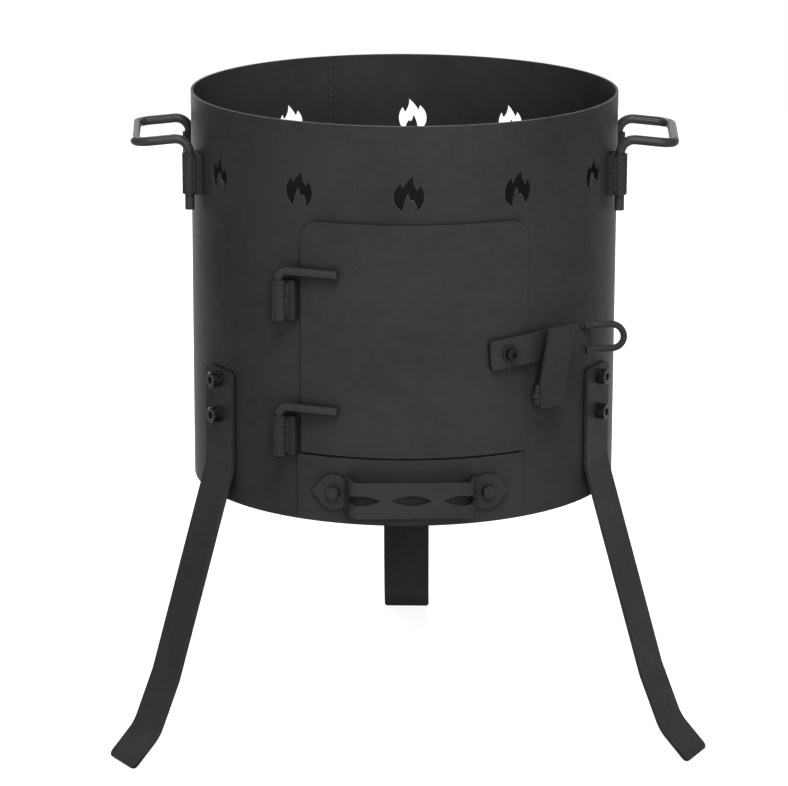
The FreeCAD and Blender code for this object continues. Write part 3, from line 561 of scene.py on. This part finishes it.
dress("latch_bar", bar_paint, 0.0005)
dress("latch_loop", bar_paint)
screw_low, screw_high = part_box("latch_screw")
loop_low, loop_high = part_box("latch_loop")
pivot = (screw_low + screw_high) / 2
off_door = from_axis(pivot)
along_bar = (loop_low + loop_high) / 2 - pivot
along_bar = (along_bar - off_door * along_bar.dot(off_door)).normalized()
across_bar = off_door.cross(along_bar)
loop_corners = [corner - pivot for corner in corners("latch_loop")]
loop_middle = sum(corner.dot(across_bar) for corner in loop_corners) / len(loop_corners)
bar_end = max((corner - pivot).dot(along_bar) for corner in corners("latch_bar"))
rod_tip = 0.001
side_bead_aside, end_bead_aside = 0.38, 0.42
short_of_bar_end = 0.0005
side_bead_width, side_bead_height, side_bead_ripple = 0.0030, 0.0016, 0.14
end_bead_width, end_bead_height, end_bead_ripple = 0.0034, 0.0024, 0.10
runs = []
for number in (0, 1):
    leg = [c for c in loop_corners if (c.dot(across_bar) > loop_middle) == (number == 0)]
    end = min(c.dot(along_bar) for c in leg)
    tip = [c for c in leg if c.dot(along_bar) < end + rod_tip]
    lowest = min(c.dot(across_bar) for c in tip)
    highest = max(c.dot(across_bar) for c in tip)
    rod_across = across_bar * (highest - lowest)
    on_bar = pivot + off_door * min(c.dot(off_door) for c in tip) + across_bar * (lowest + highest) / 2
    for side in (-1, 1):
        beside = on_bar + rod_across * side * side_bead_aside
        bead_route = straight(beside + along_bar * end, beside + along_bar * (bar_end - short_of_bar_end))
        facing = lambda point, side=side: off_door + across_bar * side
        runs.append((bead_route, facing, side_bead_width, side_bead_height, side_bead_ripple,
                     20 + 3 * number + side))
    at_end = on_bar + along_bar * end
    bead_route = straight(at_end - rod_across * end_bead_aside, at_end + rod_across * end_bead_aside)
    facing = lambda point: off_door * 2 - along_bar
    runs.append((bead_route, facing, end_bead_width, end_bead_height, end_bead_ripple, 20 + 3 * number))
weld("loop_weld", "latch", runs, weld_paint)
dress("latch_screw", fastener_black, 0.0002)
dress("latch_washer", bar_paint, 0.0002)
dress("latch_nut", fastener_black, 0.0002)

# Keeper: a leaning strap of flat bar on a spacer block, welded to the drum beside the door, with a bead
# at both edges of its foot. The latch bar drops behind it.

dress("latch_keeper", bar_paint, 0.0005)
dress("keeper_block", bar_paint, 0.0004)
keeper_low, keeper_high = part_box("keeper_block")
keeper_out = from_axis((keeper_low + keeper_high) / 2)
keeper_face = max(corner.dot(keeper_out) for corner in corners("keeper_block"))
keeper_face -= Vector((drum_axis.x, drum_axis.y, 0)).dot(keeper_out)
foot_height = 0.004
foot_corners = [corner for corner in corners("latch_keeper") if corner.z < keeper_low.z + foot_height]
foot_left = min(angle_on_drum(corner) for corner in foot_corners)
foot_right = max(angle_on_drum(corner) for corner in foot_corners)


def from_strap(side):
    """Crown direction of a bead in the corner beside the strap: half outwards, half to that side."""
    return lambda point: from_axis(point) + outward(angle_on_drum(point) + 90) * side


left_bead_width, right_bead_width = 0.0085, 0.0050
bead_flatness = 3.4
keeper_ripple = 0.16
bead_lean = 0.5
above_block, inside_block = 0.002, 0.001
runs = []
for side, edge_angle, bead_width in ((-1, foot_left, left_bead_width), (1, foot_right, right_bead_width)):
    bead_route = straight(on_drum(edge_angle + bead_lean, keeper_face, keeper_high.z + above_block),
                          on_drum(edge_angle, keeper_face, keeper_low.z + inside_block))
    bead_height = bead_width / bead_flatness
    runs.append((bead_route, from_strap(side), bead_width, bead_height, keeper_ripple, 30 + side))
keeper_bead = weld("keeper_bead", "stove", runs, weld_paint)
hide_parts("keeper_weld")

# Legs: three flat bars bent at the knee and the foot, each held to the drum by two socket cap screws
# with washers and nuts inside.

for place in ("front_left", "front_right", "rear"):
    dress("leg_" + place, bar_paint)
dress("leg_screws", fastener_black, 0.0002)
dress("leg_washers", fastener_black, 0.0002)
dress("leg_nuts", fastener_black, 0.0002)

# Carrying handles: bent rods whose ends stand loose in sleeves, so that they lift out.
# The sleeves are cut from tube and welded to pads on the drum, with a bead down both sides.

sleeve_bead_widths = (0.0055, 0.0055)
for number, side in enumerate(("left", "right")):
    dress("handle_" + side, rod_paint)
    dress("handle_sleeves_" + side, bar_paint)
    dress("handle_blocks_" + side, bar_paint, 0.0004)
    sleeve_corners = corners("handle_sleeves_" + side)
    pad_corners = corners("handle_blocks_" + side)
    handle_middle = sum(sleeve_corners, Vector()) / len(sleeve_corners)
    handle_side = outward(angle_on_drum(handle_middle) + 90)
    runs = []
    for end in (-1, 1):
        sleeve = [c for c in sleeve_corners if (c - handle_middle).dot(handle_side) * end > 0]
        pad = [c for c in pad_corners if (c - handle_middle).dot(handle_side) * end > 0]
        runs += beads_beside(sleeve, pad, sleeve_bead_widths, 50 + 10 * number + 3 * end)
    weld("handle_" + side + "_weld", "stove", runs, tube_weld_paint)

# Floor, light and camera for the likeness: a pale floor, soft lamps in front, above and behind, and the
# viewpoint worked out from the drum's rims. None of this belongs to the stove.

camera_from_axis = Vector((-0.10411, -2.98135, 0.51133))
camera_turn = math.radians(-1.844)
camera_tilt = math.radians(75.404)
camera_roll = math.radians(0.1645)
camera_data = bpy.data.cameras.new("viewpoint")
camera_data.sensor_width = 36.0
camera_data.lens = 163.52
camera_data.clip_end = 50.0
camera = bpy.data.objects.new("viewpoint", camera_data)
camera.matrix_world = (
    Matrix.Translation(Vector((drum_axis.x, drum_axis.y, rim_height)) + camera_from_axis)
    @ Matrix.Rotation(camera_turn, 4, "Z")
    @ Matrix.Rotation(camera_tilt, 4, "X")
    @ Matrix.Rotation(camera_roll, 4, "Z"))
bpy.context.scene.collection.objects.link(camera)
bpy.context.scene.camera = camera

floor_radius = 3.0
floor_mesh = bmesh.new()
bmesh.ops.create_circle(floor_mesh, cap_ends=True, segments=96, radius=floor_radius)
floor_data = bpy.data.meshes.new("pale_floor")
floor_mesh.to_mesh(floor_data)
floor_mesh.free()
floor = bpy.data.objects.new("pale_floor", floor_data)
floor.location.z = cad_box[0][2]
bpy.context.scene.collection.objects.link(floor)


def background_share(tree):
    """1 for rays that show the background: seen, mirrored or through glass."""
    path = tree.nodes.new("ShaderNodeLightPath").outputs
    either = reckon(tree, "MAXIMUM", path["Is Camera Ray"], path["Is Glossy Ray"])
    return reckon(tree, "MAXIMUM", either, path["Is Transmission Ray"])


floor_paper = bpy.data.materials.new("floor_paper")
floor_paper.use_nodes = True
floor_tree = floor_paper.node_tree
floor_tree.nodes.remove(floor_tree.nodes["Principled BSDF"])
matt = floor_tree.nodes.new("ShaderNodeBsdfDiffuse")
floor_grey = (0.50, 0.50, 0.50, 1)
matt.inputs["Color"].default_value = floor_grey
glow = floor_tree.nodes.new("ShaderNodeEmission")
glow_strength = 0.84
floor_mix = floor_tree.nodes.new("ShaderNodeAddShader")
floor_tree.links.new(reckon(floor_tree, "MULTIPLY", background_share(floor_tree), glow_strength),
                     glow.inputs["Strength"])
floor_tree.links.new(matt.outputs["BSDF"], floor_mix.inputs[0])
floor_tree.links.new(glow.outputs["Emission"], floor_mix.inputs[1])
floor_tree.links.new(floor_mix.outputs["Shader"], floor_tree.nodes["Material Output"].inputs["Surface"])
floor_data.materials.append(floor_paper)

studio = bpy.data.worlds.new("white_studio")
studio.use_nodes = True
bpy.context.scene.world = studio
studio_tree = studio.node_tree
room = studio_tree.nodes["Background"]
room_light, backdrop_white = 0.06, 1.0
room.inputs["Color"].default_value = (1, 1, 1, 1)
room.inputs["Strength"].default_value = room_light
backdrop = studio_tree.nodes.new("ShaderNodeBackground")
backdrop.inputs["Color"].default_value = (1, 1, 1, 1)
backdrop.inputs["Strength"].default_value = backdrop_white
studio_mix = studio_tree.nodes.new("ShaderNodeMixShader")
studio_tree.links.new(background_share(studio_tree), studio_mix.inputs["Fac"])
studio_tree.links.new(room.outputs["Background"], studio_mix.inputs[1])
studio_tree.links.new(backdrop.outputs["Background"], studio_mix.inputs[2])
studio_tree.links.new(studio_mix.outputs["Shader"], studio_tree.nodes["World Output"].inputs["Surface"])


def softbox(name, place, aim, width, height, watts):
    """A soft area lamp at a place, turned towards a point."""
    lamp = bpy.data.lights.new(name, "AREA")
    lamp.shape = "RECTANGLE"
    lamp.size = width
    lamp.size_y = height
    lamp.energy = watts
    holder = bpy.data.objects.new(name, lamp)
    holder.location = place
    holder.rotation_euler = (Vector(aim) - Vector(place)).to_track_quat("-Z", "Y").to_euler()
    bpy.context.scene.collection.objects.link(holder)


stove_middle = (0, 0, 0.3)
softbox("front_softbox", (0.34, -3.2, 1.17), stove_middle, width=1.2, height=0.9, watts=80)
softbox("high_softbox", (0.1, -1.6, 2.6), stove_middle, width=1.2, height=1.0, watts=75)
softbox("back_softbox", (-0.3, 1.9, 2.4), stove_middle, width=1.6, height=1.2, watts=55)
softbox("rim_softbox", (-1.15, 2.45, 0.75), stove_middle, width=0.5, height=1.0, watts=32)
bpy.context.scene.view_settings.view_transform = "Standard"
